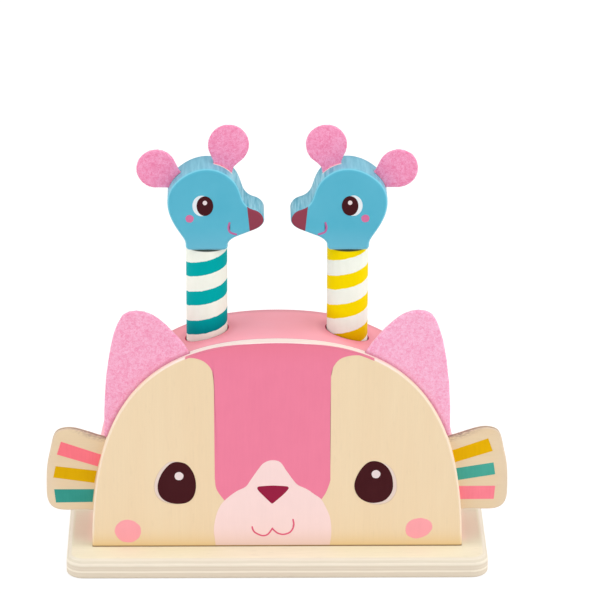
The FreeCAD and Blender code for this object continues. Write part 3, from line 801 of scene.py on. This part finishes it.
def spring_line(sign):
    """The middle of a spring's wire, and the way from the spring's axis to each of its points.

    The first and the last turn are closed, and the next half turns lead over to the open ones.
    """
    steps_a_turn = 36
    low = SPRING_FOOT + SPRING_PLAY + SPRING_WIRE / 2
    high = SPRING_TOP - SPRING_PLAY - SPRING_WIRE / 2
    closed = SPRING_WIRE * 1.03
    opening = closed + 0.30 * (high - low - 2 * closed) / (SPRING_TURNS - 2)
    heights = {
        0: low, 1: low + closed, 1.5: low + opening,
        SPRING_TURNS - 1.5: high - opening, SPRING_TURNS - 1: high - closed, SPRING_TURNS: high,
    }
    t = np.linspace(0, SPRING_TURNS, SPRING_TURNS * steps_a_turn + 1)
    z = np.interp(t, list(heights), list(heights.values()))
    angle = 2 * math.pi * t
    out = np.stack([np.cos(angle), np.sin(angle), 0 * t], 1)
    axis = np.stack([0 * t + sign * BORE_X, 0 * t + BORE_Y, z], 1)
    return axis + (SPRING_DIAMETER - SPRING_WIRE) / 2 * out, out


def coil(side, sign, material):
    """A compression spring with closed ends."""
    facets = 10
    line, out = spring_line(sign)
    up = np.cross(out, directions(line))
    rings = []
    for k in range(facets):
        a = 2 * math.pi * k / facets
        rings.append(line + SPRING_WIRE / 2 * (math.cos(a) * out + math.sin(a) * up))
    verts = np.stack(rings, 1).reshape(-1, 3) * MM
    faces = []
    for i in range(len(line) - 1):
        a, b = i * facets, (i + 1) * facets
        for k in range(facets):
            j = (k + 1) % facets
            faces.append((a + k, b + k, b + j, a + j))
    faces.append(tuple(range(facets)))
    faces.append(tuple(reversed(range(len(verts) - facets, len(verts)))))
    mesh = bpy.data.meshes.new(side + "_coil")
    mesh.from_pydata(verts.tolist(), [], faces)
    for polygon in mesh.polygons[:-2]:
        polygon.use_smooth = True
    mesh.materials.append(material)
    piece = add_object(side + "_coil_wire", mesh)
    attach(piece, side + "_coil")
    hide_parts(side + "_spring")
    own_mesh(piece)


def dress(node, material):
    """Gives a CAD node's faces one material."""
    mesh = NODES[node].data
    mesh.materials.clear()
    mesh.materials.append(material)


# Prints on the cat's face: (across, height above the base plate)

LEFT_LOBE = [
    (-35.5, 42.4), (-35.7, 70), (-35.8, 92), (-35.9, 102.4), (-37.3, 108.9), (-41.1, 113.4),
    (-46.3, 115.6), (-52.0, 115.9),
]
RIGHT_LOBE = [
    (54.6, 114.9), (47.3, 117.0), (41.6, 117.1), (35.9, 115.4), (32.3, 111.8), (30.3, 106.3),
    (30.0, 95), (29.9, 70), (30.1, 41.0),
]
RIGHT_BLAZE_FOOT = [(30.1, 41.0), (29.4, 38.1), (27.3, 32.6), (24.0, 27.5)]
LEFT_BLAZE_FOOT = [(-29.0, 27.2), (-33.1, 32.8), (-34.9, 36.7), (-35.5, 42.4)]
MUZZLE = [
    (-35.1, 0.8), (-36.1, 9.0), (-35.7, 14.6), (-34.3, 20.9), (-31.7, 26.4), (-28.0, 30.4),
    (-23.0, 34.3), (-17.9, 37.1), (-15.0, 41.4), (-10.6, 48.1), (-7.7, 51.6), (-3.4, 53.3),
    (1.5, 52.2), (5.1, 46.9), (8.8, 41.4), (11.7, 38.0), (16.8, 35.4), (21.1, 32.2),
    (24.9, 29.2), (27.7, 23.9), (29.9, 18.3), (30.8, 12.0), (30.7, 5.6), (30.0, 0.8),
]
NOSE = [  # three smooth spans between its corners
    [
        (-11.4, 36.2), (-10.9, 37.0), (-9.0, 37.3), (-2.5, 37.7), (4.4, 37.3), (6.1, 36.9),
        (6.5, 36.0),
    ],
    [(6.5, 36.0), (5.6, 34.6), (3.4, 32.1), (-1.9, 27.2), (-2.9, 26.6)],
    [(-2.9, 26.6), (-3.9, 27.2), (-9.0, 32.6), (-11.0, 35.0), (-11.4, 36.2)],
]
MOUTH = [
    [(-14.3, 12.1), (-13.9, 10.4), (-12.4, 8.4), (-8.4, 6.6), (-5.2, 7.6), (-2.7, 11.2)],
    [(-2.9, 11.0), (0.2, 8.2), (3.9, 7.4), (7.6, 9.0), (9.4, 12.8), (9.0, 16.6)],
]
LEFT_EYE = [
    (-56.3, 52.4), (-51.8, 51.1), (-48.6, 47.4), (-46.7, 42.5), (-46.2, 37.5), (-46.9, 32.8),
    (-48.7, 29.3), (-51.9, 27.1), (-57.0, 26.5), (-61.6, 27.4), (-65.0, 29.4), (-67.2, 32.6),
    (-68.0, 37.0), (-67.2, 41.5), (-65.2, 46.0), (-62.2, 49.9), (-59.5, 51.9),
]
RIGHT_EYE = [
    (55.4, 52.6), (59.4, 51.4), (62.8, 48.3), (64.9, 44.0), (65.7, 39.6), (65.6, 35.3),
    (64.1, 31.6), (61.3, 28.5), (57.3, 27.0), (52.8, 26.9), (48.2, 28.8), (45.1, 32.3),
    (43.8, 36.6), (44.3, 40.9), (46.4, 45.9), (49.2, 49.8), (52.0, 52.0),
]
EYES = (  # side, outline, which way its glow and shade lie, the middle of its spark
    ("left", LEFT_EYE, (-1.7, 0.3), (-55.8, 43.7)),
    ("right", RIGHT_EYE, (1.9, -0.7), (56.0, 44.6)),
)
CHEEKS = (  # side, centre, width, height, tilt in degrees
    ("left", (-85.1, 9.6), 14.9, 13.9, -12),
    ("right", (80.6, 11.0), 15.6, 12.4, 14),
)
# The right fan's stripes are lighter than the left's: painted light from the right
RIGHT_STRIPES = (  # hue, colour, corners
    ("yellow", (232, 179, 0), [(119.8, 63.7), (122.5, 55.9), (101.0, 48.9), (99.2, 56.3)]),
    ("teal", (75, 170, 154), [(123.1, 48.8), (124.2, 41.5), (102.6, 37.9), (101.8, 45.3)]),
    ("pink", (254, 135, 151), [(124.3, 34.3), (123.6, 26.2), (103.9, 26.1), (103.4, 34.2)]),
)
LEFT_STRIPES = (
    ("pink", (252, 122, 135), [(-122.7, 62.3), (-100.1, 54.3), (-102.0, 47.0), (-125.1, 54.4)]),
    ("yellow", (221, 171, 0), [(-126.0, 47.2), (-102.6, 44.3), (-104.0, 36.8), (-127.4, 40.2)]),
    ("teal", (57, 152, 140), [(-127.0, 32.9), (-104.3, 32.9), (-105.2, 25.0), (-126.1, 24.7)]),
)


def make_inks():
    """The paints of the prints, by name. A fade darkens one towards an end of its height."""
    tones = {
        "blaze": (240, 132, 161), "muzzle": (250, 221, 218), "nose": (151, 32, 66),
        "mouth": (226, 98, 128), "eye": (68, 25, 30), "eye_glow": (231, 211, 201),
        "eye_shade": (226, 202, 172), "spark": (234, 219, 219), "cheek": (253, 167, 176),
        "mouse_white": (228, 236, 240), "mouse_cheek": (214, 116, 160), "smile": (190, 110, 160),
    }
    # The muzzle's fade is painted shade and warm bounce light near the base plate; the blaze's
    # darkens it towards the crown
    fades = {
        "blaze": (CROWN - 20, CROWN + 1, (236, 126, 150)),
        "muzzle": (BASE_TOP + 14, BASE_TOP, (236, 203, 188)),
    }
    return {
        name: ink_paint(name + "_ink", tone, fade=fades.get(name)) for name, tone in tones.items()
    }


def print_cat(inks):
    """The cat's prints lie on each other in the order of their lift over the wood."""

    def put(name, outline, lift, material, face=PANEL_FRONT):
        raised = [(x, z + BASE_TOP) for x, z in outline]
        ink(name, raised, face, lift, "cat", material)

    blaze = np.vstack([
        smooth_line(LEFT_BLAZE_FOOT)[:-1], smooth_line(LEFT_LOBE)[:-1],
        dome_edge(BLAZE_LEFT, BLAZE_RIGHT, BLAZE_INSET),
        smooth_line(RIGHT_LOBE)[1:-1], smooth_line(RIGHT_BLAZE_FOOT),
    ])
    put("blaze_ink", blaze, 0.06, inks["blaze"])
    put("muzzle_ink", smooth_line(MUZZLE), 0.12, inks["muzzle"])
    nose = np.vstack([smooth_line(span, 0.3)[:-1] for span in NOSE])
    put("nose_ink", nose, 0.18, inks["nose"])
    for k, line in enumerate(MOUTH):
        put("mouth_ink_%d" % k, stroke(line, 0.9), 0.18 + 0.01 * k, inks["mouth"])
    for side, eye, (du, dv), spark in EYES:
        outline = smooth_loop(eye)
        middle = outline.mean(0)
        glow = (outline - middle) * 1.005 + middle + (du, dv)
        shade = (outline - middle) * 1.03 + middle + (1.1 * du, dv - 0.2)
        put(side + "_eye_shade_ink", shade, 0.04, inks["eye_shade"])
        put(side + "_eye_glow_ink", glow, 0.08, inks["eye_glow"])
        put(side + "_eye_ink", outline, 0.12, inks["eye"])
        put(side + "_eye_spark_ink", ellipse(spark, 5.0, 5.0, 0, 0.06, 3), 0.18, inks["spark"])
    for side, centre, width, height, tilt in CHEEKS:
        shape = ellipse(centre, width, height, tilt, 0.06, width)
        put(side + "_cheek_ink", shape, 0.06, inks["cheek"])
    for side, stripes in (("right", RIGHT_STRIPES), ("left", LEFT_STRIPES)):
        for hue, tone, shape in stripes:
            name = "%s_%s_whisker_ink" % (side, hue)
            put(name, shape, 0.05, ink_paint(name, tone, shift=5), PANEL_BACK)


# Prints on both faces of a mouse's head: (towards the nose from the peg's axis, over the chin)

MOUSE_PRINTS = (
    ("eye_white", ellipse((-2.7, 26.6), 10.2, 12.2), 0.05, "mouse_white"),
    ("eye", ellipse((-0.8, 26.5), 9.3, 11.6), 0.10, "eye"),
    ("spark", ellipse((-0.8, 28.4), 2.5, 2.6), 0.15, "spark"),
    ("cheek", ellipse((-9.4, 19.0), 4.6, 4.5, 0, 0.08, 2), 0.05, "mouse_cheek"),
    ("smile", stroke([(12.9, 16.4), (12.3, 13.6), (13.3, 10.9), (16.6, 9.6)], 1.15), 0.06, "smile"),
)


def print_mouse(side, sign, nose, inks):
    for facing, where in ((-1, "front"), (1, "back")):
        face = BORE_Y + facing * HEAD_HALF
        for kind, outline, lift, tone in MOUSE_PRINTS:
            name = "%s_mouse_%s_%s_ink" % (side, where, kind)
            placed = [(sign * BORE_X + nose * u, CHIN + v) for u, v in outline]
            ink(name, placed, face, lift, side + "_mouse", inks[tone], facing)


def main():
    add_camera()
    add_lights()
    add_floor()
    SCENE.view_settings.view_transform = "Standard"

    inks = make_inks()
    print_cat(inks)
    dress("base_plate", base_ply())
    dress("face_panel", panel_ply())
    dress("cat_block", block_paint())
    dress("base_screws", steel("screw_steel", colour(200, 200, 198), colour(150, 150, 150)))
    fans = fan_ply()
    # The right ear's felt is a lighter copy of the left's, painted light from the right
    cat_felts = {
        "left": felt("left_cat_felt", colour(254, 190, 218), colour(245, 149, 185), rim=True),
        "right": felt("right_cat_felt", colour(255, 198, 225), colour(247, 158, 194), rim=True),
    }
    mouse_felt = felt("mouse_felt", colour(255, 174, 210), colour(243, 129, 172))
    cap_wood = plain_wood("cap_wood", 0, colour(232, 204, 164), colour(220, 188, 146))
    dowel_wood = plain_wood("dowel_wood", 2, colour(236, 210, 170), colour(224, 194, 152))
    spring = steel("spring_steel", colour(214, 214, 212), colour(160, 160, 162))
    pegs = {
        "left": peg_paint("teal_peg", -1, (0, 168, 169), (0, 150, 153), (0, 118, 126), 10.5),
        "right": peg_paint("yellow_peg", 1, (247, 219, 0), (238, 200, 0), (214, 172, 0), 1.0),
    }

    for side, sign, nose in SIDES:
        dress(side + "_whiskers", fans)
        dress(side + "_peg", pegs[side])
        dress(side + "_mouse_head", head_paint(side, sign, nose))
        dress(side + "_spring_cap", cap_wood)
        dress(side + "_neck_dowel", dowel_wood)
        coil(side, sign, spring)
        print_mouse(side, sign, nose, inks)
        soften(
            side + "_cat_ear", "cat", cat_felts[side], clear_of_dome,
            voxel=0.8, seed=sign,
        )
        for kind, flat, area, seed in MOUSE_EARS:
            soften(
                "%s_mouse_%s_ear" % (side, kind), side + "_mouse", mouse_felt,
                clear_of_head(sign), voxel=0.6, seed=sign * 3 + seed,
            )


main()
